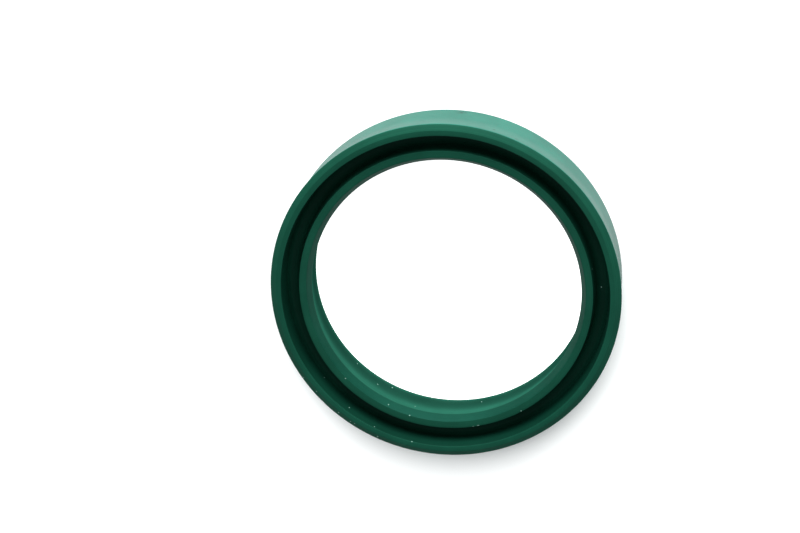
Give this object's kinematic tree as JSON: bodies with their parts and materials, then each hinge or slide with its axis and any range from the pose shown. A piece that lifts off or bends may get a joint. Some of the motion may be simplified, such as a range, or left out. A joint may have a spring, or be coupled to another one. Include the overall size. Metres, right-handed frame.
{
  "type": "rod seal",
  "caption": "One-piece U-cup rod seal with a flat heel, an outer lip that rests in the housing and a lower, bevelled inner lip that runs on the rod.",
  "frame": {"origin": "centre of the heel's flat face, on the ring's axis, where the seal lies on its heel", "axes": "+Z along the ring's axis from the heel to the open lips; the ring is the same all the way round, so +X and +Y are free"},
  "size_m": [0.0506, 0.0506, 0.0094],
  "materials": {
    "polyurethane": "satin dark green moulded polyurethane"
  },
  "bodies": {
    "root": {"rod_seal": "polyurethane"}
  },
  "joints": []
}
